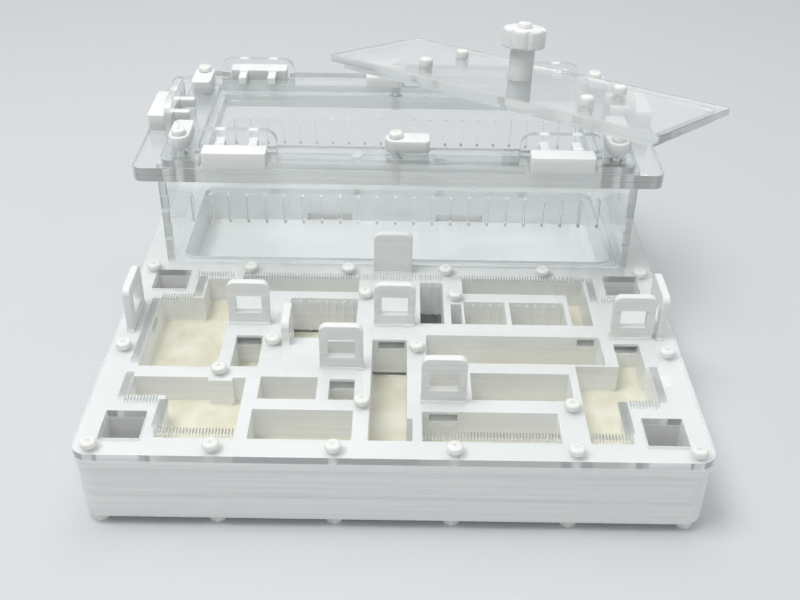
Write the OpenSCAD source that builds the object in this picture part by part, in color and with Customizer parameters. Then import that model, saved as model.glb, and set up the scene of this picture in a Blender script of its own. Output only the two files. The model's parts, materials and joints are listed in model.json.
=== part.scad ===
// Ant habitat: a printed nest of small rooms under a clear cover plate, with a clear
// arena standing on it, lift gates between the rooms and a lid held by turn latches.
// Millimetres, +Z up, front towards -Y. Z = 0 is the face of the nuts that it stands on.

/* [Cover plate and nest] */
// Width of the nest and of its cover plate
plate_w = 222; // [220:1:228]
// Depth of the nest and of its cover plate, front to back
plate_d = 222; // [221:1:228]
// Radius of the outer corners
plate_r = 6.5; // [4:0.5:7]
// Thickness of the clear sheet that the cover plate is cut from
plate_t = 3; // [2.5:0.25:4]
// Height of the nest body
nest_h = 16.3; // [15.5:0.1:20]
// Height of the base tray
tray_h = 12.2; // [10:0.1:16]
// Thickness of the tray's walls
tray_wall = 2.2; // [1.6:0.1:2.8]
// Thickness of the tray's floor
tray_floor = 2; // [1.5:0.1:3]
// Radius of the tray's lower edge
tray_edge_r = 3; // [1.5:0.1:4]
// Height of the lip that stands out at the top of the nest
lip_h = 3.3; // [2:0.1:4]
// How far the lip stands out from the nest's wall
lip_step = 0.5; // [0.3:0.1:1]
// Thickness of the nest's floor
nest_floor = 1.6; // [1.2:0.1:2]
// Depth of the plaster cast in the three large rooms
plaster_t = 3; // [2:0.1:3.2]
// Depth of the plaster cast in the other rooms
thin_plaster_t = 0.9; // [0.6:0.1:1.5]
// Depth of the plaster cast in the tray under the two deep rooms
deep_plaster_t = 8.5; // [5:0.1:9.5]
// Depth of the plaster cast in the tray under the deepest cell
low_plaster_t = 4; // [2:0.1:4.5]
// Thickness of the ribs that ants climb on
rib_t = 0.5; // [0.3:0.1:0.8]
// Distance from one rib to the next
rib_pitch = 3.6; // [2.5:0.1:5]

/* [Water wells] */
// Side of the square water wells at the corners
well = 14.6; // [10:0.1:15]

/* [Screws and nuts] */
// Diameter of the nylon screws
screw_d = 3; // [2.5:0.1:3]
// Radial room around a screw's shank
screw_clear = 0.1; // [0.05:0.01:0.15]
// Diameter of a screw's pan head
head_d = 6; // [5:0.1:6]
// Height of a screw's pan head
head_h = 2.3; // [1.8:0.1:2.6]
// Width across the flats of the hexagon nuts
nut_af = 5.5; // [5:0.1:5.5]
// Height of the nuts, the lower ones of which are the feet
nut_h = 2.5; // [2:0.1:3]

/* [Gates] */
// Width of a lift gate
gate_w = 16.5; // [14:0.1:16.5]
// Width of the two gates at the side edges
edge_gate_w = 20.5; // [16:0.1:20.5]
// Height of a lift gate
gate_h = 21.4; // [19:0.1:24]
// Thickness of a lift gate
gate_t = 3; // [2:0.1:3]
// Radius of a gate's upper corners
gate_r = 3; // [1:0.1:5]
// Room around a gate in its slot
gate_clear = 0.1; // [0.06:0.01:0.2]
// Width of the grip hole in a gate
grip_w = 10.4; // [6:0.1:11]
// Height of the grip hole in a gate
grip_h = 8; // [5:0.1:9]
// Height of the tunnels that the gates close
tunnel_h = 3.6; // [3:0.1:5]
// Thickness of the roof over the tunnels
tunnel_roof = 1.2; // [0.8:0.1:2]
// Width of the tunnels that the gates close
tunnel_w = 10.4; // [6:0.1:12]

/* [Arena] */
// Width of the arena, outside
arena_w = 200; // [198:1:204]
// Depth of the arena, outside
arena_d = 80.5; // [80:0.5:84]
// Distance from the middle of the cover plate to the middle of the arena
arena_y = 52.25; // [52:0.25:53]
// Height of the arena's walls
arena_h = 43.5; // [40:0.5:60]
// Thickness of the arena's clear sheet
sheet_t = 3; // [2.5:0.1:3]
// Width of a vent slit in the front and back walls
air_w = 1; // [0.5:0.1:2]
// Height of a vent slit in the front and back walls
air_h = 13; // [8:0.5:16]
// Distance from one vent slit to the next
air_pitch = 7.8; // [7:0.1:8]
// Number of vent slits in a wall
air_n = 23; // [15:1:23]

/* [Flange and tabs] */
// How far the flange stands out beyond the arena's walls
flange_out = 8.5; // [8.5:0.1:10]
// Width of a tab on the top of a wall
tab_w = 33.5; // [32:0.1:36]
// Height of a tab above the wall
tab_h = 19.3; // [18:0.1:22]
// Distance of a front or back tab from the middle
tab_x = 66.5; // [66:0.1:67]
// Radius of a tab's upper corners
tab_r = 5; // [2:0.1:5]
// Width of the opening that the lid drops into
mouth_w = 161; // [160:0.5:161]
// Depth of the opening that the lid drops into
mouth_d = 55; // [54.5:0.5:55]
// Width of the seat for the lid's upper plate
seat_w = 167; // [166:0.5:167]
// Depth of the seat for the lid's upper plate
seat_d = 63.4; // [63:0.1:63.5]

/* [Locks and latches] */
// Length of a lock's block
lock_l = 26; // [22:0.1:27]
// Depth of a lock's block
lock_w = 8; // [6:0.1:8]
// Height of a lock's block
lock_h = 7; // [6.8:0.1:9]
// Width of a lock's prong
prong_w = 3.5; // [3:0.1:5]
// Height of a lock's prong
prong_h = 3.4; // [2.5:0.1:3.4]
// Distance of a prong from the middle of its lock
prong_x = 6.7; // [5:0.1:8]
// How far a prong reaches beyond the tab
prong_reach = 6; // [4:0.1:6]
// Length of a turn latch
latch_l = 18.3; // [16:0.1:18.5]
// Width of a turn latch
latch_w = 8.6; // [7:0.1:8.6]
// Height of a turn latch
latch_h = 5.5; // [4:0.1:7]
// Radial room around the screw in a turn latch
latch_clear = 0.05; // [0.03:0.01:0.08]

/* [Lid] */
// Width of the lid's upper plate
lid_w = 165; // [162:0.5:165]
// Depth of the lid's upper plate
lid_d = 62; // [60:0.5:62]
// Width of the lid's lower plate
lid_inner_w = 157; // [150:0.5:158]
// Depth of the lid's lower plate
lid_inner_d = 53; // [50:0.5:54]
// Diameter of the knob's stem
stem_d = 10.4; // [8:0.1:12]
// Height of the knob's stem
stem_h = 14; // [10:0.5:20]
// Diameter of the knob's grip
knob_d = 18.4; // [14:0.1:22]
// Height of the knob's grip
knob_h = 8; // [5:0.1:12]
// Height of the domed heads on the lid
dome_h = 3.8; // [3.2:0.1:4.5]

/* [Part] */
// Which piece to make

/* [Hidden] */
$fn = 48;
eps = 0.01;

// From the middle of the nest to the middle of the whole outline, with the lid askew
outline_x = 11.61;
outline_y = 6.685;

// Levels, from the feet up
tray_z = nut_h;
nest_z = tray_z + tray_h;
floor_z = nest_z + nest_floor + plaster_t;
thin_floor_z = nest_z + nest_floor + thin_plaster_t;
plate_z = nest_z + nest_h;
deck_z = plate_z + plate_t;
tunnel_z = plate_z - tunnel_roof - tunnel_h;
rim_z = deck_z + arena_h;
frame_z = rim_z + 2 * sheet_t;
lock_z = frame_z;
prong_z = frame_z + sheet_t + 0.3;
latch_z = frame_z + sheet_t + 0.2;
tab_z = rim_z + tab_h;

// Middle of the cover plate, in the direction front to back
plate_y = -1;

// Radii of the holes for screws
bore_r = screw_d / 2 + screw_clear;
latch_bore_r = screw_d / 2 + latch_clear;

// Corner radii of the basin and of the layers above the arena
basin_r = 5;
basin_wall = 1.5;
rim_w = 2.5;
rim_t = 3;
flange_r = 4.5;
mouth_r = 2;
lid_r = 1.2;
boss_r = 2.6;

// Basin, inside: x from the middle, then front and back edge
basin_x = 94;
basin_front = 18;
basin_back = 82;
basin_floor_top = nest_z + 1.6;

// Arena edges
arena_x = arena_w / 2;
arena_front = arena_y - arena_d / 2;
arena_back = arena_y + arena_d / 2;

// Room edges, seen from above: left, right, front, back
left_room = [[-98, -68, -60.5, -14], [-80.5, -68, -15, 1]];
front_left_room = [[-98, -56, -78, -69], [-98, -70, -70, -67], [-61, -56, -70, -67],
    [-84, -56, -101, -77]];
small_left_room = [[-63, -52.5, -60, -40]];
brood_room = [[-44, -16, -41, -13]];
back_left_channel = [[-66, -16, -8, 3.6]];
back_right_channel = [[28, 80, -8, 3.6], [71.5, 80, -30, -7]];
corridor = [[-9.2, 4.5, -101, -41.5], [-9.2, 6.5, -101, -89]];
front_room = [[-51.5, -15, -101, -85]];
front_right_room = [[10, 59, -101, -85]];
right_room = [[69, 84, -101, -57], [82, 97, -78, -57], [86, 96, -58, -42]];
store_room = [[28.5, 66, -78, -62]];
long_room = [[12, 81, -56, -38]];
small_rooms = [[-50.5, -29, -79, -66], [-24.5, -15, -79, -67], [-27, -13, -57.5, -43],
    [11, 27, -76, -59]];
deep_cell = [[9.9, 19.5, -30, 0]];
cells = [[22.5, 27, -30, -16], [28, 45, -30, -14], [47, 69.5, -30, -14]];

// Edges of the blocks that the nest is made of: left, right, front, back
nest_end = 120;
front_left_block = [-nest_end, -54, -nest_end, -62.5];
front_middle_block = [-54, -12, -nest_end, -62.5];
back_left_block = [-nest_end, -68, -62.5, 10.5];
back_middle_block = [-68, -12, -62.5, 10.5];
corridor_block = [-12, 8, -nest_end, 10.5];
front_right_block = [8, 67.5, -nest_end, -57.5];
right_block = [67.5, nest_end, -nest_end, -57.5];
long_room_block = [8, nest_end, -57.5, -34];
cells_block = [8, nest_end, -34, 10.5];
arena_block = [-nest_end, nest_end, 10.5, nest_end];

// Tunnels under the gates, seen from above: left, right, front, back
tunnel_half = tunnel_w / 2;
tunnels = [
    [-58.8 - tunnel_half, -58.8 + tunnel_half, -41, -7],
    [-1.7 - tunnel_half, -1.7 + tunnel_half, -42.5, basin_front],
    [-20.4 - tunnel_half + 0.5, -20.4 + tunnel_half - 0.2, -68, -57],
    [17.8 - tunnel_half, 17.8 + tunnel_half, -86, -75],
    [91 - tunnel_half, 91 + tunnel_half, -43, -22],
    [90, 112, -29 - tunnel_half, -29 + tunnel_half],
    [-112, -97, -29 - tunnel_half, -29 + tunnel_half],
    [-53, -43, -49, -41],
    [72.5, 79.5, -39, -29]];

// Gates: middle in x, middle in y, 0 for one that faces the front and 90 for the side,
// how far it is let down from its raised place, and its width
gates = [
    ["gate_back_left", -58.8, -31.1, 0, 0, gate_w],
    ["gate_back_middle", -0.6, -31, 0, 0, gate_w],
    ["gate_arena", -1.7, 8.3, 0, 0, gate_w],
    ["gate_middle", -20.4, -59.7, 0, 0, gate_w],
    ["gate_front_right", 17.8, -78.8, 0, 0, gate_w],
    ["gate_right", 93.4, -37.5, 0, 0, gate_w],
    ["gate_left_edge", -105.2, -29, 90, 0, edge_gate_w],
    ["gate_right_edge", 105.2, -29, 90, 0, edge_gate_w],
    ["gate_inner_left", -43.1, -37.8, 90, 9.5, gate_w]];

// Places of the cover screws
front_screw_places = [for (x = [-105, -63, -21, 21, 63, 105]) [x, -107]];
back_screw_places = [for (x = [-105, -63, -21, 21, 63, 105]) [x, 105]];
middle_screw_places = concat(
    [for (x = [-105, -63, -21, 21, 63, 105]) [x, 7]],
    [[-105.5, -50], [105.5, -50], [-66.4, -64.2], [-48.2, -45], [-12, -82],
     [8.2, -48.3], [24.4, -12.2], [64.5, -83], [-13, -11.4]]);
cover_screw_places = concat(front_screw_places, middle_screw_places, back_screw_places);

// Places of the wells
well_places = [for (x = [-95.7, 95.7], y = [-96, -2]) [x, y]];

// Vent slits in the cover plate
slit_w = 0.35;
slit_pitch = 1.14;
// Rows that run side to side: left, right, front, back
slit_rows = [[-85, -70, 1.6, 4.4], [-65, 8, 1.6, 4.4], [10, 20, 1.6, 4.4],
    [24.5, 84, 1.6, 4.4], [-84, -56, -100.5, -97.5], [10, 58, -100.5, -97.5],
    [70, 84, -100.5, -97.5], [-98, -86, -83, -80], [-97, -84, -16, -13],
    [86.2, 97, -82, -79], [86, 96, -15, -12]];
// Columns that run front to back: left, right, front, back
slit_columns = [[-101, -98, -80, -66], [-101, -98, -59, -16], [-85.5, -82, -96, -82],
    [-84.5, -81, -13, 1], [81.5, 85, -96, -80], [97, 100, -78, -58],
    [81, 84, -13, 1]];

// Turn latches: x and y of the pivot, and the direction of the arm in degrees
latch_dy = arena_d / 2 - 6.15;
latches = [
    ["latch_front", -1.2, arena_y - latch_dy, 0],
    ["latch_back", -1.8, arena_y + latch_dy, 180],
    ["latch_front_left", -90.5, arena_y - latch_dy, 90],
    ["latch_front_right", 90.5, arena_y - latch_dy, 90],
    ["latch_back_left", -90.5, arena_y + latch_dy, -90],
    ["latch_back_right", 90.5, arena_y + latch_dy, -90]];

// Locks: x and y of the tab's outer face, and the turn that faces the prongs inwards
locks = [
    ["lock_front_left", -tab_x, arena_front, 0],
    ["lock_front_right", tab_x, arena_front, 0],
    ["lock_back_left", -tab_x, arena_back, 180],
    ["lock_back_right", tab_x, arena_back, 180],
    ["lock_left", -arena_x, arena_y, -90],
    ["lock_right", arena_x, arena_y, 90]];

// Where the lid lies, taken off and askew on the tabs
lid_place = [51.5, 49.9, tab_z + 8.3];
lid_turn = -40.15;
lid_lean = -8;
lid_roll = -3.85;
lid_screw_x = 41;
lid_screw_y = 13.3;

// ---- Shapes that several pieces share ----

module rounded_rect(w, d, r) {
    square([w - 2 * r, d], center = true);
    square([w, d - 2 * r], center = true);
    for (x = [-1, 1], y = [-1, 1])
        translate([x * (w / 2 - r), y * (d / 2 - r)]) circle(r);
}

module slab(w, d, r, z0, z1) {
    translate([0, 0, z0]) linear_extrude(z1 - z0) rounded_rect(w, d, r);
}

// A box given by its left, right, front and back edges
module box(e, z0, z1) {
    translate([e[0], e[2], z0]) cube([e[1] - e[0], e[3] - e[2], z1 - z0]);
}

module boxes(edges, z0, z1) {
    for (e = edges) box(e, z0, z1);
}

module posts(places, r, z0, z1) {
    for (p = places) translate([p[0], p[1], z0]) cylinder(r = r, h = z1 - z0);
}

// A pan-headed screw with its tip at z0 and the underside of its head at z1
module pan_screw(z0, z1) {
    translate([0, 0, z0]) cylinder(d = screw_d, h = z1 - z0 + eps);
    translate([0, 0, z1]) rotate_extrude() {
        square([head_d / 2, head_h - 1]);
        square([head_d / 2 - 1, head_h]);
        intersection() {
            translate([head_d / 2 - 1, head_h - 1]) circle(1);
            square([head_d / 2, head_h]);
        }
    }
}

module hex_nut(z0) {
    translate([0, 0, z0]) linear_extrude(nut_h) difference() {
        circle(d = nut_af / cos(30), $fn = 6);
        circle(d = screw_d);
    }
}

// ---- Base tray and nest body ----

// A block with a rounded lower edge
module tub_block(w, d, r, e, z0, z1) {
    slab(w, d, r, z0 + e, z1);
    slab(w - 2 * e, d - 2 * e, r - e, z0, z0 + e + eps);
    for (s = [-1, 1]) {
        translate([-(w / 2 - r), s * (d / 2 - e), z0 + e])
            rotate([0, 90, 0]) cylinder(r = e, h = w - 2 * r);
        translate([s * (w / 2 - e), d / 2 - r, z0 + e])
            rotate([90, 0, 0]) cylinder(r = e, h = d - 2 * r);
    }
    for (x = [-1, 1], y = [-1, 1])
        translate([x * (w / 2 - r), y * (d / 2 - r), z0 + e])
            rotate_extrude() intersection() {
                translate([r - e, 0]) circle(e);
                translate([0, -e]) square([r, 2 * e]);
            }
}

// The hollow of the tray
module tray_room() {
    translate([0, plate_y, 0])
        slab(plate_w - 2 * lip_step - 2 * tray_wall, plate_d - 2 * lip_step - 2 * tray_wall,
            plate_r - tray_wall, tray_z + tray_floor, nest_z + 1);
}

module base_tray() {
    color("white") difference() {
        translate([0, plate_y, 0])
            tub_block(plate_w - 2 * lip_step, plate_d - 2 * lip_step, plate_r,
                tray_edge_r, tray_z, nest_z);
        tray_room();
        posts(cover_screw_places, bore_r, 0, nest_z + 1);
    }
}

// Posts that hold the nest up round each screw
module tray_posts() {
    color("white") difference() {
        intersection() {
            posts(cover_screw_places, boss_r, tray_z, nest_z);
            tray_room();
        }
        posts(cover_screw_places, bore_r, 0, nest_z + 1);
    }
}

module gate_slot(g, z0, z1) {
    translate([g[1], g[2], z0]) rotate([0, 0, g[3]])
        translate([-g[5] / 2 - gate_clear, -gate_t / 2 - gate_clear, 0])
            cube([g[5] + 2 * gate_clear, gate_t + 2 * gate_clear, z1 - z0]);
}

module well_shafts(z0, z1) {
    for (p = well_places)
        translate([p[0] - well / 2, p[1] - well / 2, z0]) cube([well, well, z1 - z0]);
}

module nest_block() {
    translate([0, plate_y, 0]) {
        slab(plate_w - 2 * lip_step, plate_d - 2 * lip_step, plate_r, nest_z, plate_z);
        slab(plate_w, plate_d, plate_r, plate_z - lip_h, plate_z);
    }
}

// Upright ribs on the back wall of a room, given by its edges
module ribs(e, z0, z1) {
    rib_w = 0.8;
    for (x = [e[0] + rib_pitch : rib_pitch : e[1] - rib_w])
        box([x, x + rib_w, e[3] - rib_t, e[3] + eps], z0, z1);
}

module nest_rooms() {
    room_z = nest_z + nest_floor;
    rib_top = plate_z - 1.5;
    top = plate_z + 1;
    boxes(left_room, room_z, top);
    boxes(front_left_room, room_z, top);
    boxes(small_left_room, room_z, top);
    boxes(back_left_channel, room_z, top);
    boxes(back_right_channel, room_z, top);
    boxes(front_room, room_z, top);
    boxes(front_right_room, room_z, top);
    boxes(right_room, room_z, top);
    boxes(store_room, room_z, top);
    boxes(long_room, room_z, top);
    boxes(small_rooms, room_z, top);
    difference() {
        union() {
            boxes(cells, room_z, top);
            boxes(brood_room, nest_z - 1, top);
            boxes(deep_cell, nest_z - 1, top);
        }
        ribs(brood_room[0], nest_z - 2, rib_top);
        ribs(deep_cell[0], nest_z - 2, rib_top);
        ribs(cells[1], floor_z, rib_top);
        ribs(cells[2], floor_z, rib_top);
    }
    boxes(corridor, nest_z - 1, top);
}

module basin_hole() {
    basin_y = (basin_front + basin_back) / 2;
    basin_d = basin_back - basin_front;
    translate([0, basin_y, 0]) {
        slab(2 * basin_x + 2 * basin_wall, basin_d + 2 * basin_wall,
            basin_r + basin_wall, nest_z - 1, plate_z + 1);
        slab(2 * (basin_x + basin_wall + rim_w), basin_d + 2 * (basin_wall + rim_w),
            basin_r + basin_wall + rim_w, plate_z - rim_t, plate_z + 1);
    }
}

// The nest is printed in one piece. It is made as blocks, each a part of it that is given
// by its edges, so that every block has a plain shape
module nest(edges) {
    color("white") difference() {
        intersection() {
            nest_block();
            box(edges, nest_z - 1, plate_z + 1);
        }
        nest_rooms();
        basin_hole();
        boxes(tunnels, tunnel_z, tunnel_z + tunnel_h);
        for (g = gates) gate_slot(g, floor_z, plate_z + 1);
        well_shafts(nest_z - 1, plate_z + 1);
        posts(cover_screw_places, bore_r, nest_z - 1, plate_z + 1);
    }
}

module arena_basin() {
    basin_y = (basin_front + basin_back) / 2;
    basin_d = basin_back - basin_front;
    port_h = 4;
    color("white") difference() {
        translate([0, basin_y, 0]) {
            slab(2 * basin_x + 2 * basin_wall, basin_d + 2 * basin_wall,
                basin_r + basin_wall, nest_z + 0.1, plate_z);
            slab(2 * (basin_x + basin_wall + rim_w), basin_d + 2 * (basin_wall + rim_w),
                basin_r + basin_wall + rim_w, plate_z - rim_t, plate_z);
        }
        translate([0, basin_y, 0])
            slab(2 * basin_x, basin_d, basin_r, basin_floor_top, plate_z + 1);
        box([tunnels[1][0], tunnels[1][1], basin_front - 2, basin_front + 1],
            tunnel_z, tunnel_z + tunnel_h);
        for (x = [[-45, -23], [19, 42]])
            box([x[0], x[1], basin_back - 1, basin_back + 2],
                basin_floor_top, basin_floor_top + port_h);
    }
}

// ---- Plaster floors ----

module plaster(edges) {
    color("ivory") boxes(edges, nest_z + nest_floor, floor_z);
}

module thin_plaster(edges) {
    color("ivory") boxes(edges, nest_z + nest_floor, thin_floor_z);
}

// Cast in the tray, under a room that is open at its bottom
module tray_plaster(edges, depth) {
    tray_floor_z = tray_z + tray_floor;
    color("ivory") boxes(edges, tray_floor_z, tray_floor_z + depth);
}

module plaster_deep_floors() {
    tray_plaster(brood_room, deep_plaster_t);
    tray_plaster(corridor, deep_plaster_t);
    tray_plaster(deep_cell, low_plaster_t);
}

module plaster_thin_floors() {
    thin_plaster(small_left_room);
    thin_plaster(back_left_channel);
    thin_plaster(back_right_channel);
    thin_plaster(front_room);
    thin_plaster(front_right_room);
    thin_plaster(store_room);
    thin_plaster(long_room);
    thin_plaster(small_rooms);
    thin_plaster(cells);
}

// ---- Cover plate ----

module slits(z0, z1) {
    for (r = slit_rows, x = [r[0] : slit_pitch : r[1]])
        box([x - slit_w / 2, x + slit_w / 2, r[2], r[3]], z0, z1);
    for (c = slit_columns, y = [c[2] : slit_pitch : c[3]])
        box([c[0], c[1], y - slit_w / 2, y + slit_w / 2], z0, z1);
}

module cover_plate() {
    z0 = plate_z - 1;
    z1 = deck_z + 1;
    color("gainsboro") difference() {
        translate([0, plate_y, 0]) slab(plate_w, plate_d, plate_r, plate_z, deck_z);
        translate([0, (basin_front + basin_back) / 2, 0])
            slab(2 * basin_x, basin_back - basin_front, basin_r, z0, z1);
        for (g = gates) gate_slot(g, z0, z1);
        well_shafts(z0, z1);
        posts(cover_screw_places, bore_r, z0, z1);
        slits(z0, z1);
    }
}

module cover_screws(places) {
    color("snow") for (p = places) translate([p[0], p[1], 0]) pan_screw(0, deck_z);
}

module cover_nuts() {
    color("snow") for (p = cover_screw_places) translate([p[0], p[1], 0]) hex_nut(0);
}

// ---- Gates ----

module gate(g) {
    grip_z = 7.3;
    w = g[5];
    color("white") translate([g[1], g[2], plate_z - g[4]]) rotate([90, 0, g[3]])
        translate([0, 0, -gate_t / 2]) linear_extrude(gate_t) difference() {
            union() {
                translate([-w / 2, 0]) square([w, gate_h - gate_r]);
                translate([-w / 2 + gate_r, 0]) square([w - 2 * gate_r, gate_h]);
                for (s = [-1, 1])
                    translate([s * (w / 2 - gate_r), gate_h - gate_r])
                        circle(gate_r);
            }
            if (g[0] != "gate_arena")
                translate([-grip_w / 2, grip_z]) square([grip_w, grip_h]);
        }
}

// ---- Arena walls ----

// Outline of a tab with its two slots, standing on y = 0
module tab_outline() {
    slot_room = 0.2;
    difference() {
        union() {
            translate([-tab_w / 2, 0]) square([tab_w, tab_h - tab_r]);
            translate([-tab_w / 2 + tab_r, 0]) square([tab_w - 2 * tab_r, tab_h]);
            for (s = [-1, 1])
                translate([s * (tab_w / 2 - tab_r), tab_h - tab_r]) circle(tab_r);
        }
        for (s = [-1, 1])
            translate([s * prong_x - prong_w / 2 - slot_room, prong_z - rim_z - slot_room])
                square([prong_w + 2 * slot_room, prong_h + 2 * slot_room]);
    }
}

// Heights of the finger joints on the arena's corners
finger_h = 7;
finger_z = [4, 18, 32];

module long_wall(y) {
    translate([0, y + sheet_t / 2, deck_z]) rotate([90, 0, 0])
        linear_extrude(sheet_t) difference() {
            union() {
                translate([-arena_x, 0]) square([arena_w, arena_h]);
                for (s = [-1, 1]) translate([s * tab_x, arena_h]) tab_outline();
            }
            for (s = [-1, 1], z = finger_z)
                translate([s * (arena_x - sheet_t / 2) - sheet_t / 2, z])
                    square([sheet_t, finger_h]);
            for (i = [0 : air_n - 1])
                translate([(i - (air_n - 1) / 2) * air_pitch - air_w / 2 - 1, 20])
                    square([air_w, air_h]);
        }
}

module side_wall(x) {
    translate([x - sheet_t / 2, arena_y, deck_z]) rotate([90, 0, 90])
        linear_extrude(sheet_t) {
            translate([-arena_d / 2 + sheet_t, 0])
                square([arena_d - 2 * sheet_t, arena_h]);
            translate([0, arena_h]) tab_outline();
            for (z = finger_z)
                translate([-arena_d / 2, z]) square([arena_d, finger_h]);
        }
}

// ---- Flange, guide frame and their screws ----

module tab_slots(z0, z1) {
    room = 0.1;
    for (s = [-1, 1], y = [arena_front + sheet_t / 2, arena_back - sheet_t / 2])
        translate([s * tab_x - tab_w / 2 - room, y - sheet_t / 2 - room, z0])
            cube([tab_w + 2 * room, sheet_t + 2 * room, z1 - z0]);
    for (s = [-1, 1])
        translate([s * (arena_x - sheet_t / 2) - sheet_t / 2 - room,
            arena_y - tab_w / 2 - room, z0])
            cube([sheet_t + 2 * room, tab_w + 2 * room, z1 - z0]);
}

module latch_bores(z0, z1) {
    for (l = latches) translate([l[1], l[2], z0]) cylinder(r = bore_r, h = z1 - z0);
}

module flange(z0) {
    z1 = z0 + sheet_t;
    color("gainsboro") difference() {
        translate([0, arena_y, 0])
            slab(arena_w + 2 * flange_out, arena_d + 2 * flange_out, flange_r, z0, z1);
        translate([0, arena_y, 0]) slab(mouth_w, mouth_d, mouth_r, z0 - 1, z1 + 1);
        tab_slots(z0 - 1, z1 + 1);
        latch_bores(z0 - 1, z1 + 1);
    }
}

module guide_frame() {
    side_gap = 0.2;
    front_gap = 1;
    notch_l = lock_l + 2.4;
    z0 = frame_z;
    z1 = frame_z + sheet_t;
    frame_w = arena_w - 2 * sheet_t - 2 * side_gap;
    frame_d = arena_d + 2 * flange_out - 2 * front_gap;
    color("gainsboro") difference() {
        translate([0, arena_y, 0]) slab(frame_w, frame_d, flange_r, z0, z1);
        translate([0, arena_y, 0]) slab(seat_w, seat_d, lid_r, z0 - 1, z1 + 1);
        tab_slots(z0 - 1, z1 + 1);
        for (s = [-1, 1], t = [-1, 1])
            translate([s * tab_x - notch_l / 2,
                arena_y + t * (arena_d / 2 + flange_out / 2) - flange_out / 2 - eps, z0 - 1])
                cube([notch_l, flange_out + 2 * eps, sheet_t + 2]);
        latch_bores(z0 - 1, z1 + 1);
    }
}

module latch_screws() {
    color("snow") for (l = latches)
        translate([l[1], l[2], 0]) pan_screw(rim_z - nut_h, latch_z + latch_h + 0.1);
}

module latch_nuts() {
    color("snow") for (l = latches)
        translate([l[1], l[2], 0]) rotate([0, 0, 30]) hex_nut(rim_z - nut_h);
}

// ---- Locks and latches ----

module lock(k) {
    block_gap = 0.3;
    block_r = 1;
    color("white") translate([k[1], k[2], 0]) rotate([0, 0, k[3]]) {
        translate([0, -block_gap - lock_w / 2, 0])
            slab(lock_l, lock_w, block_r, lock_z, lock_z + lock_h);
        for (s = [-1, 1])
            translate([s * prong_x - prong_w / 2, -block_gap - 1, prong_z])
                cube([prong_w, block_gap + 1 + sheet_t + prong_reach, prong_h]);
    }
}

module latch(l) {
    pivot = latch_w / 2;
    tip_r = 2;
    color("white") translate([l[1], l[2], latch_z]) rotate([0, 0, l[3]])
        linear_extrude(latch_h) difference() {
            union() {
                circle(pivot);
                translate([0, -pivot]) square([latch_l - pivot - tip_r, latch_w]);
                translate([0, -pivot + tip_r])
                    square([latch_l - pivot, latch_w - 2 * tip_r]);
                for (s = [-1, 1])
                    translate([latch_l - pivot - tip_r, s * (pivot - tip_r)])
                        circle(tip_r);
            }
            circle(latch_bore_r);
        }
}

// ---- Lid, drawn flat with the top of its upper plate at z = 0 ----

module lid_pose() {
    translate(lid_place) rotate([0, 0, lid_turn]) rotate([lid_lean, 0, 0])
        rotate([0, lid_roll, 0]) children();
}

module lid_bores(z0, z1) {
    translate([0, 0, z0]) cylinder(r = bore_r, h = z1 - z0);
    for (x = [-1, 1], y = [-1, 1])
        translate([x * lid_screw_x, y * lid_screw_y, z0])
            cylinder(r = bore_r, h = z1 - z0);
}

module lid_plate() {
    color("gainsboro") lid_pose() difference() {
        slab(lid_w, lid_d, lid_r, -sheet_t, 0);
        lid_bores(-sheet_t - 1, 1);
    }
}

module lid_inner_plate() {
    color("gainsboro") lid_pose() difference() {
        slab(lid_inner_w, lid_inner_d, lid_r, -2 * sheet_t, -sheet_t);
        lid_bores(-2 * sheet_t - 1, 1);
    }
}

// A domed cap on a screw that ends flush under the lower plate
module domed_screw() {
    dome_r = head_d / 2;
    translate([0, 0, -2 * sheet_t]) cylinder(d = screw_d, h = 2 * sheet_t + eps);
    rotate_extrude() {
        square([dome_r, dome_h - 1.5]);
        square([dome_r - 1.5, dome_h]);
        intersection() {
            translate([dome_r - 1.5, dome_h - 1.5]) circle(1.5);
            square([dome_r, dome_h]);
        }
    }
}

module lid_screws() {
    color("snow") lid_pose() for (x = [-1, 1], y = [-1, 1])
        translate([x * lid_screw_x, y * lid_screw_y, 0]) domed_screw();
}

module knob_stem() {
    color("white") lid_pose() difference() {
        cylinder(d = stem_d, h = stem_h);
        translate([0, 0, -1]) cylinder(r = bore_r, h = stem_h + 2);
    }
}

module knob_grip() {
    flutes = 8;
    flute_r = 1.6;
    edge = 1;
    color("white") lid_pose() translate([0, 0, stem_h]) difference() {
        rotate_extrude() {
            translate([0, edge]) square([knob_d / 2, knob_h - 2 * edge]);
            square([knob_d / 2 - edge, knob_h]);
            for (z = [edge, knob_h - edge]) translate([knob_d / 2 - edge, z])
                intersection() {
                    circle(edge);
                    translate([-edge, -edge]) square(2 * edge);
                }
        }
        for (i = [0 : flutes - 1]) rotate([0, 0, i * 360 / flutes])
            translate([knob_d / 2 + 0.9, 0, -1]) cylinder(r = flute_r, h = knob_h + 2);
        translate([0, 0, -1]) cylinder(r = bore_r, h = knob_h + 2);
    }
}

module knob_screw() {
    color("snow") lid_pose() pan_screw(-2 * sheet_t, stem_h + knob_h);
}

// ---- The pieces, with the origin under the middle of the whole outline ----

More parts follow.
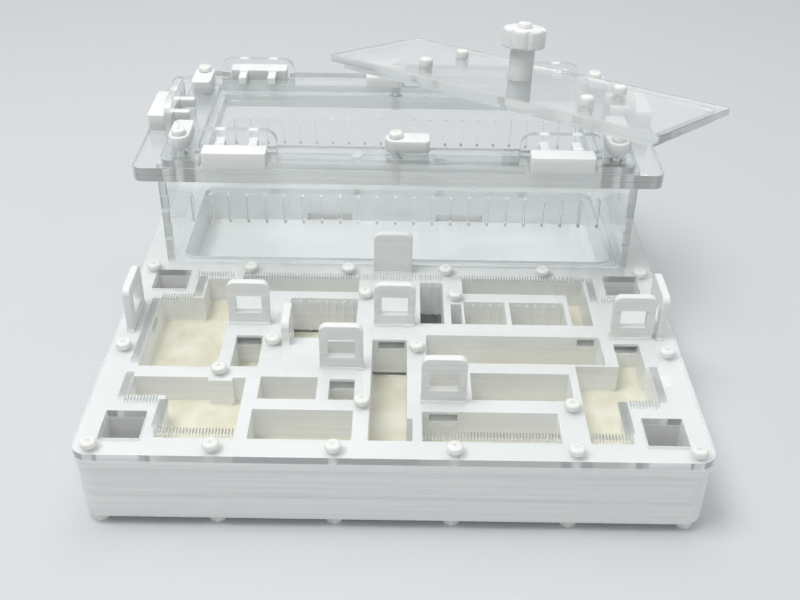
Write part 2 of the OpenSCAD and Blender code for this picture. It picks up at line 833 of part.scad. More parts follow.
translate([-outline_x, -outline_y, 0]) {
    base_tray();
    tray_posts();
    nest(front_left_block);  // nest_front_left
    nest(front_middle_block);  // nest_front_middle
    nest(back_left_block);  // nest_back_left
    nest(back_middle_block);  // nest_back_middle
    nest(corridor_block);  // nest_corridor
    nest(front_right_block);  // nest_front_right
    nest(right_block);  // nest_right
    nest(long_room_block);  // nest_long_room
    nest(cells_block);  // nest_cells
    nest(arena_block);  // nest_arena_bed
    arena_basin();
    plaster(left_room);  // plaster_left_room
    plaster(front_left_room);  // plaster_front_left_room
    plaster(right_room);  // plaster_right_room
    plaster_deep_floors();
    plaster_thin_floors();
    cover_plate();
    cover_screws(front_screw_places);  // front_screws
    cover_screws(middle_screw_places);  // middle_screws
    cover_screws(back_screw_places);  // back_screws
    cover_nuts();
    color("gainsboro") long_wall(arena_front + sheet_t / 2);  // arena_front_wall
    color("gainsboro") long_wall(arena_back - sheet_t / 2);  // arena_back_wall
    color("gainsboro") side_wall(-arena_x + sheet_t / 2);  // arena_left_wall
    color("gainsboro") side_wall(arena_x - sheet_t / 2);  // arena_right_wall
    flange(rim_z);  // flange_lower
    flange(rim_z + sheet_t);  // flange_upper
    guide_frame();
    latch_screws();
    latch_nuts();
    gate(gates[0]);  // gate_back_left
    gate(gates[1]);  // gate_back_middle
    gate(gates[2]);  // gate_arena
    gate(gates[3]);  // gate_middle
    gate(gates[4]);  // gate_front_right
    gate(gates[5]);  // gate_right
    gate(gates[6]);  // gate_left_edge
    gate(gates[7]);  // gate_right_edge
    gate(gates[8]);  // gate_inner_left
    lock(locks[0]);  // lock_front_left
    lock(locks[1]);  // lock_front_right
    lock(locks[2]);  // lock_back_left
    lock(locks[3]);  // lock_back_right
    lock(locks[4]);  // lock_left
    lock(locks[5]);  // lock_right
    latch(latches[0]);  // latch_front
    latch(latches[1]);  // latch_back
    latch(latches[2]);  // latch_front_left
    latch(latches[3]);  // latch_front_right
    latch(latches[4]);  // latch_back_left
    latch(latches[5]);  // latch_back_right
    lid_plate();
    lid_inner_plate();
    lid_screws();
    knob_stem();
    knob_grip();
    knob_screw();
}
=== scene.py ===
import json
import math

import bmesh
import bpy
from mathutils import Matrix, Vector, noise

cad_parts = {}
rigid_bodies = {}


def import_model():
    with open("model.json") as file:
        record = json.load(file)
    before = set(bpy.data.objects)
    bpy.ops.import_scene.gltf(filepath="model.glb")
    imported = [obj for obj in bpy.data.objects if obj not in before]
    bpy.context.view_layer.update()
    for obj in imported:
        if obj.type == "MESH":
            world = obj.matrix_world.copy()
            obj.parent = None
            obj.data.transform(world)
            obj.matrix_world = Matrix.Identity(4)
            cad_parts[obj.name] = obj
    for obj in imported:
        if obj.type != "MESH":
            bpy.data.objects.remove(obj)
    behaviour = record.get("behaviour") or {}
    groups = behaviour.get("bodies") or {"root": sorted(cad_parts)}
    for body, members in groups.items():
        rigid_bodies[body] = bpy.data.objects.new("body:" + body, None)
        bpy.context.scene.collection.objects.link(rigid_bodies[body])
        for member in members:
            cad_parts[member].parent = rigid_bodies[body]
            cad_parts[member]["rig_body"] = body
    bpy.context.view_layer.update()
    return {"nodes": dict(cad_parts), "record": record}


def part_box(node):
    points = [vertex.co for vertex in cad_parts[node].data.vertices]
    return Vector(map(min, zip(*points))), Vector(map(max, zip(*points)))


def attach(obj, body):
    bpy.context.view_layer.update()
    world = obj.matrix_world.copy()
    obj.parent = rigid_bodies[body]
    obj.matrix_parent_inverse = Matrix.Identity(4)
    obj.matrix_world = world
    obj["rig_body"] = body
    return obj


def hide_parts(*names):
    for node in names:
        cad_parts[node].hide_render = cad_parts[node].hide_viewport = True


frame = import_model()
nodes = frame["nodes"]
print("stage: frame loaded,", len(nodes), "nodes")

mm = 0.001


def addObject(name, data):
    thing = bpy.data.objects.new(name, data)
    bpy.context.scene.collection.objects.link(thing)
    return thing


def addNode(tree, kind, inputs=None, **settings):
    node = tree.nodes.new(kind)
    for name, value in settings.items():
        setattr(node, name, value)
    for key, value in (inputs or {}).items():
        if isinstance(value, bpy.types.NodeSocket):
            tree.links.new(value, node.inputs[key])
        else:
            node.inputs[key].default_value = value
    return node


def colourOf(hexText):
    # sRGB hex to the linear numbers that a shader takes
    def linear(c):
        return c / 12.92 if c <= 0.04045 else ((c + 0.055) / 1.055) ** 2.4
    return tuple(linear(int(hexText[i:i + 2], 16) / 255) for i in (1, 3, 5)) + (1,)


def newMaterial(name):
    material = bpy.data.materials.new(name)
    material.use_nodes = True
    tree = material.node_tree
    tree.nodes.clear()
    return material, tree


def fillRamp(ramp, colours, places):
    # places are where the mixing of the two colours starts and ends
    for element, colour, place in zip(ramp.elements, colours, places):
        element.position = place
        element.color = colourOf(colour)


def finishMaterial(material, tree, shaderSocket):
    addNode(tree, "ShaderNodeOutputMaterial", {"Surface": shaderSocket})
    return material


# Camera: found from the screw grid and the edges of the cover plate
cameraView = {
    "place": (-10.89 * mm, -385.02 * mm, 279.36 * mm),
    "yaw": math.radians(0.122),
    "downTilt": math.radians(34.064),
    "roll": math.radians(0.944),
    "focalPixels": 1053.84,
    "imageWidth": 800,
    "sensorWidth": 36,
    "nearest": 0.01,
}


def makeCamera():
    view = cameraView
    sinYaw, cosYaw = math.sin(view["yaw"]), math.cos(view["yaw"])
    sinTilt, cosTilt = math.sin(view["downTilt"]), math.cos(view["downTilt"])
    forward = Vector((sinYaw * cosTilt, cosYaw * cosTilt, -sinTilt))
    level = Vector((cosYaw, -sinYaw, 0))
    rise = level.cross(forward)
    right = math.cos(view["roll"]) * level + math.sin(view["roll"]) * rise
    up = -math.sin(view["roll"]) * level + math.cos(view["roll"]) * rise
    turn = Matrix((right, up, -forward)).transposed().to_4x4()
    data = bpy.data.cameras.new("photoCamera")
    data.sensor_width = view["sensorWidth"]
    data.lens = view["focalPixels"] / view["imageWidth"] * view["sensorWidth"]
    data.clip_start = view["nearest"]
    camera = addObject("photoCamera", data)
    camera.matrix_world = Matrix.Translation(view["place"]) @ turn
    bpy.context.scene.camera = camera


makeCamera()


# Studio: a pale paper floor, and three soft lamps that aim a little above it
studio = {
    "floorSize": 6.0,
    "floorColour": "#D9DBDD",
    "floorRoughness": 0.9,
    "backColour": "#E6E8EA",
    "backStrength": 1.0,
    "skyColour": "#F2F5F8",
    "skyStrength": 0.46,
    "keyPlace": (-0.4, -0.2, 1.1),
    "keyPower": 6.5,
    "keySize": 0.5,
    "fillPlace": (0.9, -0.35, 0.6),
    "fillPower": 0.8,
    "fillSize": 0.9,
    "topPlace": (0.1, 0.35, 1.1),
    "topPower": 3.0,
    "topSize": 0.9,
    "aim": (0, 0, 0.05),
}


def addLamp(name, place, power, size):
    data = bpy.data.lights.new(name, "AREA")
    data.energy = power
    data.size = size
    lamp = addObject(name, data)
    lamp.location = place
    aim = Vector(studio["aim"]) - Vector(place)
    lamp.rotation_euler = aim.to_track_quat("-Z", "Y").to_euler()


def makeStudio():
    mesh = bpy.data.meshes.new("floor")
    half = studio["floorSize"] / 2
    corners = [(-half, -half, 0), (half, -half, 0), (half, half, 0), (-half, half, 0)]
    mesh.from_pydata(corners, [], [(0, 1, 2, 3)])
    floor = addObject("floor", mesh)
    # matt studio paper: evenly pale, keeps a soft shadow
    material, tree = newMaterial("studioPaper")
    paper = addNode(tree, "ShaderNodeBsdfPrincipled", {
        "Base Color": colourOf(studio["floorColour"]),
        "Roughness": studio["floorRoughness"]})
    mesh.materials.append(finishMaterial(material, tree, paper.outputs[0]))
    world = bpy.data.worlds.new("studioSky")
    world.use_nodes = True
    tree = world.node_tree
    tree.nodes.clear()
    path = addNode(tree, "ShaderNodeLightPath")
    seen = addNode(tree, "ShaderNodeMath", {
        0: path.outputs["Is Camera Ray"], 1: path.outputs["Is Transmission Ray"]},
        operation="MAXIMUM")
    seenOrGlossy = addNode(tree, "ShaderNodeMath", {
        0: seen.outputs[0], 1: path.outputs["Is Glossy Ray"]}, operation="MAXIMUM")
    light = addNode(tree, "ShaderNodeBackground", {
        "Color": colourOf(studio["skyColour"]), "Strength": studio["skyStrength"]})
    back = addNode(tree, "ShaderNodeBackground", {
        "Color": colourOf(studio["backColour"]), "Strength": studio["backStrength"]})
    mix = addNode(tree, "ShaderNodeMixShader", {
        0: seenOrGlossy.outputs[0], 1: light.outputs[0], 2: back.outputs[0]})
    addNode(tree, "ShaderNodeOutputWorld", {"Surface": mix.outputs[0]})
    bpy.context.scene.world = world
    for lamp in ("key", "fill", "top"):
        addLamp(lamp + "Lamp", studio[lamp + "Place"], studio[lamp + "Power"],
            studio[lamp + "Size"])
    bpy.context.scene.view_settings.view_transform = "Standard"


makeStudio()
print("stage: camera and studio")


# White PLA, printed in layers: satin, a little see-through, with fine level lines and
# faint uneven streaks
printedPla = {
    "colour": "#F6F6F4",
    "streakColour": "#EEEFED",
    "roughness": 0.42,
    "ior": 1.46,
    "glow": 0.3,
    "glowDepth": 1.5 * mm,
    "glowColour": (1.0, 1.0, 0.95),
    "layerHeight": 0.4 * mm,  # real layers are 0.2 mm, drawn twice as coarse to show
    "layerDepth": 0.03 * mm,
    "layerBump": 0.5,
    "layerWobble": 0.6,
    "streakHeight": 1.3 * mm,
    "streakLength": 90 * mm,
    "streakDepth": 0.04 * mm,
    "streakBump": 0.6,
    "streakDetail": 3.0,
    "streakSharpness": 0.7,
    "streakRamp": (0.38, 0.6),
}

# Blender's wave texture makes one wave in 2 pi / 20 of its input
waveFactor = 20


def makePrintedPla():
    look = printedPla
    material, tree = newMaterial("printedPla")
    place = addNode(tree, "ShaderNodeTexCoord").outputs["Object"]
    lines = addNode(tree, "ShaderNodeTexWave", {
        "Vector": place, "Scale": 2 * math.pi / look["layerHeight"] / waveFactor,
        "Distortion": look["layerWobble"], "Detail": 1.0},
        wave_type="BANDS", bands_direction="Z")
    level = 1 / look["streakLength"]
    stretched = addNode(tree, "ShaderNodeVectorMath", {
        0: place, 1: (level, level, 1 / look["streakHeight"])}, operation="MULTIPLY")
    streaks = addNode(tree, "ShaderNodeTexNoise", {
        "Vector": stretched.outputs[0], "Scale": 1.0, "Detail": look["streakDetail"],
        "Roughness": look["streakSharpness"]})
    tint = addNode(tree, "ShaderNodeValToRGB", {"Fac": streaks.outputs["Fac"]})
    fillRamp(tint.color_ramp, (look["streakColour"], look["colour"]), look["streakRamp"])
    broad = addNode(tree, "ShaderNodeBump", {
        "Height": streaks.outputs["Fac"], "Distance": look["streakDepth"],
        "Strength": look["streakBump"]})
    fine = addNode(tree, "ShaderNodeBump", {
        "Height": lines.outputs["Fac"], "Distance": look["layerDepth"],
        "Strength": look["layerBump"], "Normal": broad.outputs[0]})
    shader = addNode(tree, "ShaderNodeBsdfPrincipled", {
        "Base Color": tint.outputs["Color"], "Roughness": look["roughness"],
        "IOR": look["ior"], "Subsurface Weight": look["glow"],
        "Subsurface Radius": look["glowColour"], "Subsurface Scale": look["glowDepth"],
        "Normal": fine.outputs[0]})
    return finishMaterial(material, tree, shader.outputs[0])


# Glossy white ABS, smoothed: even, and shiny enough to mirror softly
smoothAbs = {"colour": "#EEF0F0", "roughness": 0.14, "ior": 1.53}


def makeSmoothAbs():
    look = smoothAbs
    material, tree = newMaterial("smoothAbs")
    shader = addNode(tree, "ShaderNodeBsdfPrincipled", {
        "Base Color": colourOf(look["colour"]), "Roughness": look["roughness"],
        "IOR": look["ior"]})
    return finishMaterial(material, tree, shader.outputs[0])


# Cast gypsum plaster, dry: cream, chalky, with faint damp clouds and fine pores
castPlaster = {
    "dryColour": "#EFEBDA",
    "dampColour": "#E2DCC4",
    "roughness": 0.9,
    "cloudSize": 9 * mm,
    "cloudDetail": 2.0,
    "cloudRamp": (0.35, 0.65),
    "poreSize": 0.6 * mm,
    "poreDetail": 3.0,
    "poreDepth": 0.12 * mm,
    "poreBump": 0.6,
}


def makeCastPlaster():
    look = castPlaster
    material, tree = newMaterial("castPlaster")
    place = addNode(tree, "ShaderNodeTexCoord").outputs["Object"]
    clouds = addNode(tree, "ShaderNodeTexNoise", {
        "Vector": place, "Scale": 1 / look["cloudSize"], "Detail": look["cloudDetail"]})
    tint = addNode(tree, "ShaderNodeValToRGB", {"Fac": clouds.outputs["Fac"]})
    fillRamp(tint.color_ramp, (look["dampColour"], look["dryColour"]), look["cloudRamp"])
    pores = addNode(tree, "ShaderNodeTexNoise", {
        "Vector": place, "Scale": 1 / look["poreSize"], "Detail": look["poreDetail"]})
    bump = addNode(tree, "ShaderNodeBump", {
        "Height": pores.outputs["Fac"], "Distance": look["poreDepth"],
        "Strength": look["poreBump"]})
    shader = addNode(tree, "ShaderNodeBsdfPrincipled", {
        "Base Color": tint.outputs["Color"], "Roughness": look["roughness"],
        "Normal": bump.outputs[0]})
    return finishMaterial(material, tree, shader.outputs[0])


# Natural nylon, injection moulded: milky, light glows a little way into it
naturalNylon = {
    "colour": "#F0F1EC",
    "roughness": 0.27,
    "ior": 1.53,
    "glow": 0.6,
    "glowDepth": 1.2 * mm,
    "glowColour": (1.0, 0.95, 0.85),
}


def makeNaturalNylon():
    look = naturalNylon
    material, tree = newMaterial("naturalNylon")
    shader = addNode(tree, "ShaderNodeBsdfPrincipled", {
        "Base Color": colourOf(look["colour"]), "Roughness": look["roughness"],
        "IOR": look["ior"], "Subsurface Weight": look["glow"],
        "Subsurface Radius": look["glowColour"], "Subsurface Scale": look["glowDepth"]})
    return finishMaterial(material, tree, shader.outputs[0])


# Cast acrylic sheet, laser cut: glass-clear faces, and lightly frosted cut edges. A face
# counts as cut where it turns away from the sheet's own direction
clearAcrylic = {
    "colour": "#FDFEFE",
    "edgeColour": "#F4F7F6",
    "ior": 1.49,
    "faceRoughness": 0.0,
    "edgeRoughness": 0.12,
    "edgeFrost": 0.55,
    "edgeFacing": 0.7,
}


def makeClearAcrylic(name, sheetNormal):
    # sheetNormal is the direction that the sheet's two big faces look in
    look = clearAcrylic
    material, tree = newMaterial(name)
    normal = addNode(tree, "ShaderNodeNewGeometry").outputs["True Normal"]
    facing = addNode(tree, "ShaderNodeVectorMath", {0: normal, 1: sheetNormal},
        operation="DOT_PRODUCT")
    size = addNode(tree, "ShaderNodeMath", {0: facing.outputs["Value"]},
        operation="ABSOLUTE")
    isEdge = addNode(tree, "ShaderNodeMath", {
        0: size.outputs[0], 1: look["edgeFacing"]}, operation="LESS_THAN")
    face = addNode(tree, "ShaderNodeBsdfPrincipled", {
        "Base Color": colourOf(look["colour"]), "IOR": look["ior"],
        "Roughness": look["faceRoughness"], "Transmission Weight": 1.0})
    cut = addNode(tree, "ShaderNodeBsdfPrincipled", {
        "Base Color": colourOf(look["edgeColour"]), "IOR": look["ior"],
        "Roughness": look["edgeRoughness"],
        "Transmission Weight": 1 - look["edgeFrost"]})
    sheet = addNode(tree, "ShaderNodeMixShader", {
        0: isEdge.outputs[0], 1: face.outputs[0], 2: cut.outputs[0]})
    # light passes the sheet unbent, so what lies under it stays lit
    path = addNode(tree, "ShaderNodeLightPath")
    passing = addNode(tree, "ShaderNodeMath", {
        0: path.outputs["Is Shadow Ray"], 1: path.outputs["Is Diffuse Ray"]},
        operation="MAXIMUM")
    clear = addNode(tree, "ShaderNodeBsdfTransparent", {
        "Color": colourOf(look["colour"])})
    mix = addNode(tree, "ShaderNodeMixShader", {
        0: passing.outputs[0], 1: sheet.outputs[0], 2: clear.outputs[0]})
    return finishMaterial(material, tree, mix.outputs[0])


# How the lid lies askew, in degrees
lidPose = {"turn": -40.15, "lean": -8.0, "roll": -3.85}


def lidMatrix():
    turn = Matrix.Rotation(math.radians(lidPose["turn"]), 4, "Z")
    lean = Matrix.Rotation(math.radians(lidPose["lean"]), 4, "X")
    roll = Matrix.Rotation(math.radians(lidPose["roll"]), 4, "Y")
    return turn @ lean @ roll


pla = makePrintedPla()
basinPlastic = makeSmoothAbs()
plaster = makeCastPlaster()
nylon = makeNaturalNylon()
levelSheet = makeClearAcrylic("clearAcrylicLevel", (0, 0, 1))
frontSheet = makeClearAcrylic("clearAcrylicFront", (0, 1, 0))
sideSheet = makeClearAcrylic("clearAcrylicSide", (1, 0, 0))
lidSheet = makeClearAcrylic("clearAcrylicLid", tuple(lidMatrix() @ Vector((0, 0, 1))))
print("stage: materials")


def dress(obj, material):
    obj.data.materials.clear()
    obj.data.materials.append(material)


def bodyOf(node):
    return nodes[node]["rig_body"]


def slotOf(node):
    for part in frame["record"]["subparts"]:
        if part["node"] == node:
            return part["material_slot"]


def finishedPiece(name, mesh, material, node):
    # a piece that stands for one CAD node
    piece = addObject(name, mesh)
    dress(piece, material)
    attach(piece, bodyOf(node))
    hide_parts(node)
    return piece


meshCare = {
    "mergeDistance": 0.002 * mm,
    "flatAngle": math.radians(1),
    "bevelAngle": math.radians(40),
    "bevelSteps": 2,
    "fineBevelSteps": 3,
    "smoothAngle": math.radians(20),
}


def makeFacesWhole(shape):
    # joins loose triangles, and flat faces that were split
    bmesh.ops.remove_doubles(shape, verts=shape.verts, dist=meshCare["mergeDistance"])
    bmesh.ops.dissolve_limit(shape, angle_limit=meshCare["flatAngle"],
        verts=shape.verts, edges=shape.edges)


def shapeOf(mesh):
    shape = bmesh.new()
    shape.from_mesh(mesh)
    return shape


def mergedCopy(node):
    shape = shapeOf(nodes[node].data)
    makeFacesWhole(shape)
    return shape


def store(shape, mesh):
    shape.to_mesh(mesh)
    shape.free()
    return mesh


def newMesh(shape, name):
    return store(shape, bpy.data.meshes.new(name))


def evaluatedMesh(thing):
    # the mesh that an object's modifiers make
    graph = bpy.context.evaluated_depsgraph_get()
    return bpy.data.meshes.new_from_object(thing.evaluated_get(graph))


def bevelled(mesh, width, steps):
    rough = addObject("rough", mesh)
    bevel = rough.modifiers.new("edges", "BEVEL")
    bevel.width = width
    bevel.segments = steps
    bevel.limit_method = "ANGLE"
    bevel.angle_limit = meshCare["bevelAngle"]
    bevel.use_clamp_overlap = True
    smooth = evaluatedMesh(rough)
    smooth.name = mesh.name
    bpy.data.objects.remove(rough)
    return smooth


def shadeByAngle(mesh, angle=meshCare["smoothAngle"]):
    # curved walls look smooth, and flat faces stay flat up to their edges
    shape = shapeOf(mesh)
    for face in shape.faces:
        face.smooth = True
    for edge in shape.edges:
        edge.smooth = edge.calc_face_angle(0) < angle
    return store(shape, mesh)


def roundedEdges(node, name, width, material, steps=meshCare["bevelSteps"]):
    # broken edges, as a printer's nozzle leaves them
    mesh = shadeByAngle(bevelled(newMesh(mergedCopy(node), name), width, steps))
    finishedPiece(name, mesh, material, node)


def joinedBlocks(names, name, width, material):
    # blocks that meet face to face become the one printed piece that they are
    group = bpy.data.collections.new("blocks")
    rough = []
    for node in names:
        rough.append(addObject(node + "Rough", newMesh(mergedCopy(node), node)))
    for block in rough[1:]:
        group.objects.link(block)
    join = rough[0].modifiers.new("join", "BOOLEAN")
    join.operation = "UNION"
    join.operand_type = "COLLECTION"
    join.collection = group
    join.solver = "EXACT"
    whole = evaluatedMesh(rough[0])
    whole.name = name
    for block in rough:
        bpy.data.objects.remove(block)
    bpy.data.collections.remove(group)
    shape = shapeOf(whole)
    makeFacesWhole(shape)
    whole = bevelled(store(shape, whole), width, meshCare["bevelSteps"])
    shadeByAngle(whole)
    piece = finishedPiece(name, whole, material, names[0])
    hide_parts(*names[1:])


materialOfSlot = {
    "white_print": pla, "gloss_white": basinPlastic, "plaster": plaster, "nylon": nylon}
sheetOfNode = {
    "arena_front_wall": frontSheet, "arena_back_wall": frontSheet,
    "arena_left_wall": sideSheet, "arena_right_wall": sideSheet,
    "lid_plate": lidSheet, "lid_inner_plate": lidSheet}

for nodeName, nodeObject in nodes.items():
    slotName = slotOf(nodeName)
    if slotName == "clear_acrylic":
        dress(nodeObject, sheetOfNode.get(nodeName, levelSheet))
    else:
        dress(nodeObject, materialOfSlot[slotName])
print("stage: every node dressed")


def pieceName(node):
    words = node.split("_")
    return words[0] + "".join(word.capitalize() for word in words[1:])


printedEdges = {"gate": 0.5 * mm, "knob": 0.35 * mm, "lockOrLatch": 0.8 * mm,
    "basinRim": 0.5 * mm, "nest": 0.2 * mm, "tray": 0.8 * mm}

for nodeName in sorted(nodes):
    isLatch = nodeName.startswith("latch_") and slotOf(nodeName) == "white_print"
    if nodeName.startswith("gate_"):
        roundedEdges(nodeName, pieceName(nodeName), printedEdges["gate"], pla)
    elif nodeName.startswith("lock_") or isLatch:
        roundedEdges(nodeName, pieceName(nodeName), printedEdges["lockOrLatch"], pla,
            steps=meshCare["fineBevelSteps"])
roundedEdges("knob_stem", "knobStem", printedEdges["knob"], pla)
roundedEdges("knob_grip", "knobGrip", printedEdges["knob"], pla)
roundedEdges("arena_basin", "arenaBasin", printedEdges["basinRim"], basinPlastic,
    steps=meshCare["fineBevelSteps"])
roundedEdges("base_tray", "baseTray", printedEdges["tray"], pla)
nestBlocks = sorted(node for node in nodes if node.startswith("nest_"))
joinedBlocks(nestBlocks, "nestBody", printedEdges["nest"], pla)
print("stage: gates, locks, latches, knob, basin, tray and nest")


# Acrylic sheets: a hair of air between stacked sheets, and a fine arris on each cut edge
sheetCut = {"airGap": 0.02 * mm, "arris": 0.12 * mm, "arrisSteps": 1}


def clearSheet(node, arris):
    shape = mergedCopy(node)
    shape.normal_update()
    moves = [(v, v.normal * sheetCut["airGap"]) for v in shape.verts]
    for vertex, move in moves:
        vertex.co -= move
    mesh = newMesh(shape, pieceName(node))
    if arris:
        mesh = bevelled(mesh, arris, sheetCut["arrisSteps"])
    shadeByAngle(mesh)
    finishedPiece(pieceName(node), mesh, sheetOfNode.get(node, levelSheet), node)


for nodeName in sorted(nodes):
    if slotOf(nodeName) == "clear_acrylic":
        clearSheet(nodeName, 0 if nodeName == "cover_plate" else sheetCut["arris"])
print("stage: clear sheets")


# Plaster floors: poured level, creeping up a little at the walls, lightly uneven
plasterPour = {"gridStep": 1.2 * mm, "creep": 0.45 * mm, "unevenness": 0.16 * mm,
    "waveLength": 7 * mm, "levelFacing": 0.5}


def pouredFloor(node):
    shape = mergedCopy(node)
    low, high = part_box(node)
    for axis in range(2):
        normal = Vector((axis == 0, axis == 1, 0))
        cuts = int((high[axis] - low[axis]) / plasterPour["gridStep"])
        for i in range(1, cuts):
            at = low.copy()
            at[axis] += (high[axis] - low[axis]) * i / cuts
            bmesh.ops.bisect_plane(shape,
                geom=shape.verts[:] + shape.edges[:] + shape.faces[:],
                plane_co=at, plane_no=normal)
    shape.normal_update()
    level = plasterPour["levelFacing"]
    for vertex in shape.verts:
        if not any(face.normal.z > level for face in vertex.link_faces):
            continue
        atWall = any(abs(face.normal.z) < level for face in vertex.link_faces)
        if atWall:
            vertex.co.z += plasterPour["creep"]
        ripple = noise.noise(vertex.co / plasterPour["waveLength"])
        vertex.co.z += ripple * plasterPour["unevenness"]
    for face in shape.faces:
        face.smooth = abs(face.normal.z) > level
    mesh = newMesh(shape, pieceName(node))
    finishedPiece(pieceName(node), mesh, plaster, node)


for nodeName in sorted(nodes):
    if nodeName.startswith("plaster_"):
        pouredFloor(nodeName)
print("stage: plaster floors")


def turnedMesh(name, rings, segments, closed=False):
    # rings are functions of the angle that give (radius, height); an open shape
    # starts and ends on its axis
    shape = bmesh.new()
    loops = []
    for index, ring in enumerate(rings):
        if not closed and index in (0, len(rings) - 1):
            loops.append([shape.verts.new((0, 0, ring(0)[1]))])
            continue
        loop = []
        for i in range(segments):
            angle = 2 * math.pi * i / segments
            radius, height = ring(angle)
            at = (radius * math.cos(angle), radius * math.sin(angle), height)
            loop.append(shape.verts.new(at))
        loops.append(loop)
    pairs = list(zip(loops, loops[1:]))
    if closed:
        pairs.append((loops[-1], loops[0]))
    for upper, lower in pairs:
        for i in range(segments):
            j = (i + 1) % segments
            if len(upper) == 1:
                shape.faces.new((upper[0], lower[i], lower[j]))
            elif len(lower) == 1:
                shape.faces.new((upper[i], lower[0], upper[j]))
            else:
                shape.faces.new((upper[i], lower[i], lower[j], upper[j]))
    bmesh.ops.recalc_face_normals(shape, faces=shape.faces)
    return newMesh(shape, name)


def plainRing(radius, height):
    return lambda angle: (radius, height)


# Screws: lead is how much thinner the tip is than the shank
nylonScrew = {
    "shankRadius": 1.5 * mm,
    "threadDepth": 0.18 * mm,
    "threadPitch": 0.5 * mm,
    "stepsPerTurn": 5,
    "segments": 24,
    "recessLength": 2.6 * mm,
    "recessWidth": 0.55 * mm,
    "recessDepth": 0.4 * mm,
    "recessTaper": 0.55,
    "roundingSteps": 4,
    "underEdge": 0.15 * mm,
    "lead": 0.3 * mm,
    "smoothAngle": math.radians(38),
}


def threadRing(height):
    screw = nylonScrew

    def ring(angle):
        turn = (height / screw["threadPitch"] - angle / (2 * math.pi)) % 1
        depth = abs(2 * turn - 1) * screw["threadDepth"]
        return screw["shankRadius"] - depth, height
    return ring


def headRings(head):
    radius, height, rounding = head["radius"], head["height"], head["rounding"]
    steps = nylonScrew["roundingSteps"]
    underEdge = nylonScrew["underEdge"]
    rings = [plainRing(0, height)]
    for i in range(steps + 1):
        angle = math.pi / 2 * (1 - i / steps)
        rings.append(plainRing(radius - rounding + rounding * math.cos(angle),
            height - rounding + rounding * math.sin(angle)))
    rings.append(plainRing(radius, underEdge))
    rings.append(plainRing(radius - underEdge, 0))
    return rings


def screwPart(name, head, shankLength, threads):
    # underside of the head at z = 0; threads are (top, bottom) heights
    screw = nylonScrew
    rings = headRings(head)
    rings.append(plainRing(screw["shankRadius"], 0))
    for top, bottom in threads:
        step = screw["threadPitch"] / screw["stepsPerTurn"]
        count = int((top - bottom) / step)
        rings.extend(threadRing(top - i * step) for i in range(count + 1))
    rings.append(plainRing(screw["shankRadius"] - screw["lead"], -shankLength))
    rings.append(plainRing(0, -shankLength))
    part = addObject(name, turnedMesh(name, rings, screw["segments"]))
    if head["hasRecess"]:
        cutCross(part, head["height"])
    shadeByAngle(part.data, screw["smoothAngle"])
    return part


def cutCross(part, headHeight):
    screw = nylonScrew
    cross = bmesh.new()
    for turn in (0, math.pi / 2):
        size = (screw["recessLength"], screw["recessWidth"], 2 * screw["recessDepth"], 1)
        matrix = (Matrix.Translation((0, 0, headHeight)) @ Matrix.Rotation(turn, 4, "Z")
            @ Matrix.Diagonal(size))
        bmesh.ops.create_cube(cross, size=1, matrix=matrix)
    for vertex in cross.verts:
        if vertex.co.z < headHeight:
            vertex.co.x *= screw["recessTaper"]
            vertex.co.y *= screw["recessTaper"]
    cutter = addObject("cross", newMesh(cross, "cross"))
    cut = part.modifiers.new("recess", "BOOLEAN")
    cut.object = cutter
    cut.operation = "DIFFERENCE"
    cut.use_self = True
    part.data = evaluatedMesh(part)
    part.modifiers.clear()
    bpy.data.objects.remove(cutter)


hexNut = {"acrossFlats": 5.5 * mm, "height": 2.5 * mm, "boreRadius": 1.5 * mm,
    "segments": 48, "chamferSlope": 0.58, "chamferStart": 0.02 * mm, "faceShare": 0.99}


def nutPart(name, turn):
    # hexagon nut with its lower face at z = 0 and its corners chamfered on both faces
    nut = hexNut
    flat = nut["acrossFlats"] / 2

    def hexRadius(angle):
        toFlat = (angle + turn) % (math.pi / 3) - math.pi / 6
        return flat / math.cos(toFlat)

    def drop(angle):
        return (hexRadius(angle) - flat) * nut["chamferSlope"] + nut["chamferStart"]

    top = nut["height"]
    faceRadius = flat * nut["faceShare"]
    rings = [
        plainRing(nut["boreRadius"], top),
        plainRing(faceRadius, top),
        lambda angle: (hexRadius(angle), top - drop(angle)),
        lambda angle: (hexRadius(angle), drop(angle)),
        plainRing(faceRadius, 0),
        plainRing(nut["boreRadius"], 0)]
    return addObject(name, turnedMesh(name, rings, nut["segments"], closed=True))


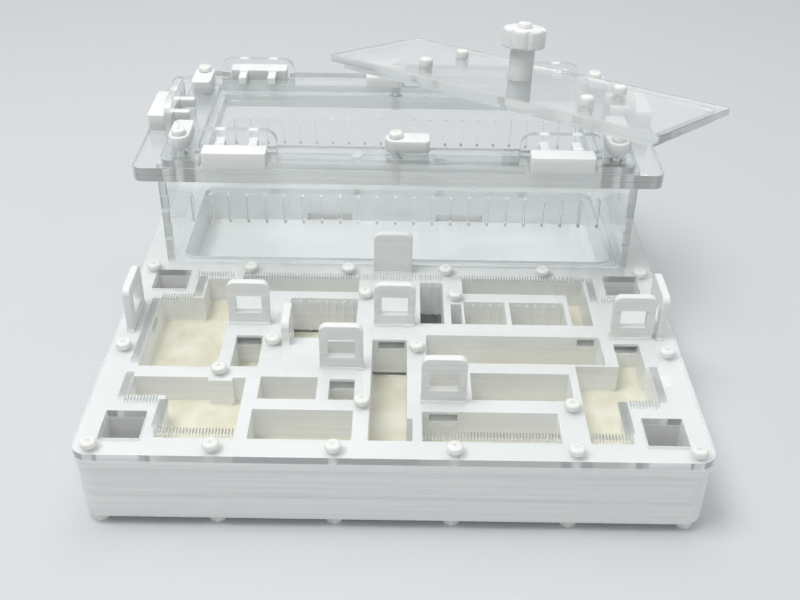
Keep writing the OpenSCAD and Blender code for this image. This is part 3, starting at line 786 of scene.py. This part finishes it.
def makePlacingTree():
    # sets one part at every point of a mesh, each turned a little differently
    tree = bpy.data.node_groups.new("placeFasteners", "GeometryNodeTree")
    sockets = tree.interface
    sockets.new_socket("Points", in_out="INPUT", socket_type="NodeSocketGeometry")
    sockets.new_socket("Fastener", in_out="INPUT", socket_type="NodeSocketObject")
    sockets.new_socket("Most turn", in_out="INPUT", socket_type="NodeSocketFloat")
    sockets.new_socket("Seed", in_out="INPUT", socket_type="NodeSocketInt")
    sockets.new_socket("Material", in_out="INPUT", socket_type="NodeSocketMaterial")
    sockets.new_socket("Geometry", in_out="OUTPUT", socket_type="NodeSocketGeometry")
    given = addNode(tree, "NodeGroupInput").outputs
    shape = addNode(tree, "GeometryNodeObjectInfo", {"Object": given["Fastener"]},
        transform_space="ORIGINAL")
    turn = addNode(tree, "FunctionNodeRandomValue", data_type="FLOAT")
    turn.inputs[2].default_value = 0
    tree.links.new(given["Most turn"], turn.inputs[3])
    tree.links.new(given["Seed"], turn.inputs["Seed"])
    angles = addNode(tree, "ShaderNodeCombineXYZ", {"Z": turn.outputs[1]})
    spin = addNode(tree, "FunctionNodeEulerToRotation", {0: angles.outputs[0]})
    placed = addNode(tree, "GeometryNodeInstanceOnPoints", {
        "Points": given["Points"], "Instance": shape.outputs["Geometry"],
        "Rotation": spin.outputs[0]})
    real = addNode(tree, "GeometryNodeRealizeInstances", {0: placed.outputs[0]})
    painted = addNode(tree, "GeometryNodeSetMaterial", {
        "Geometry": real.outputs[0], "Material": given["Material"]})
    addNode(tree, "NodeGroupOutput", {0: painted.outputs[0]})
    return tree


placingTree = makePlacingTree()


def placeParts(node, part, places, mostTurn, seed, material, turn=None):
    mesh = bpy.data.meshes.new("places")
    mesh.from_pydata(places, [], [])
    carrier = addObject("places", mesh)
    placer = carrier.modifiers.new("placeFasteners", "NODES")
    placer.node_group = placingTree
    wanted = {"Fastener": part, "Most turn": mostTurn, "Seed": seed, "Material": material}
    for socket in placingTree.interface.items_tree:
        if socket.name in wanted:
            placer[socket.identifier] = wanted[socket.name]
    baked = evaluatedMesh(carrier)
    carrier.modifiers.clear()
    bpy.data.objects.remove(carrier)
    baked.name = pieceName(node)
    if turn:
        baked.transform(turn)
    finishedPiece(pieceName(node), baked, material, node)
    bpy.data.objects.remove(part)  # it was only the pattern for the placed ones


def solidBoxes(node, turn=None):
    # the box of each separate solid of a node, in a frame that may be turned
    shape = mergedCopy(node)
    if turn:
        shape.transform(turn.inverted())
    left = set(shape.verts)
    boxes = []
    while left:
        island = {left.pop()}
        waiting = list(island)
        while waiting:
            vertex = waiting.pop()
            for link in vertex.link_edges:
                other = link.other_vert(vertex)
                if other in left:
                    left.remove(other)
                    island.add(other)
                    waiting.append(other)
        low = Vector([min(v.co[k] for v in island) for k in range(3)])
        high = Vector([max(v.co[k] for v in island) for k in range(3)])
        boxes.append((low, high))
    shape.free()
    boxes.sort(key=lambda box: (round(box[0].y, 4), round(box[0].x, 4)))
    return boxes


panHead = {"radius": 3 * mm, "height": 2.3 * mm, "rounding": 1.0 * mm, "hasRecess": True}
domedHead = {"radius": 3 * mm, "height": 3.8 * mm, "rounding": 1.5 * mm,
    "hasRecess": False}

# Threads of the cover screws show only under the head and at the nut. Each screw is
# turned by chance, up to mostTurn in radians
screwSetting = {"topThread": 4 * mm, "endThread": 3 * mm, "mostTurn": 3.0,
    "coverSeed": 1, "latchSeed": 7, "lidSeed": 9}


def placeScrews(node, name, head, seed, hiddenMiddle=False, turn=None):
    # hiddenMiddle leaves the thread out where the screw can't be seen
    boxes = solidBoxes(node, turn)
    low, high = boxes[0]
    length = high.z - low.z - head["height"]
    threads = [(0, -length)]
    if hiddenMiddle:
        threads = [(0, -screwSetting["topThread"]),
            (-length + screwSetting["endThread"], -length)]
    places = [((low.x + high.x) / 2, (low.y + high.y) / 2, high.z - head["height"])
        for low, high in boxes]
    placeParts(node, screwPart(name, head, length, threads), places,
        screwSetting["mostTurn"], seed, nylon, turn)


def placeNuts(node, turn):
    places = [((low.x + high.x) / 2, (low.y + high.y) / 2, low.z)
        for low, high in solidBoxes(node)]
    placeParts(node, nutPart(pieceName(node), turn), places, mostTurn=0, seed=1,
        material=nylon)


for row, nodeName in enumerate(("front_screws", "middle_screws", "back_screws")):
    placeScrews(nodeName, "coverScrew", panHead, screwSetting["coverSeed"] + row,
        hiddenMiddle=True)
placeScrews("latch_screws", "latchScrew", panHead, screwSetting["latchSeed"])
placeScrews("lid_screws", "lidScrews", domedHead, screwSetting["lidSeed"],
    turn=lidMatrix())
placeScrews("knob_screw", "knobScrew", panHead, screwSetting["lidSeed"],
    turn=lidMatrix())
placeNuts("cover_nuts", math.pi / 6)
placeNuts("latch_nuts", 0)
print("stage: screws and nuts")
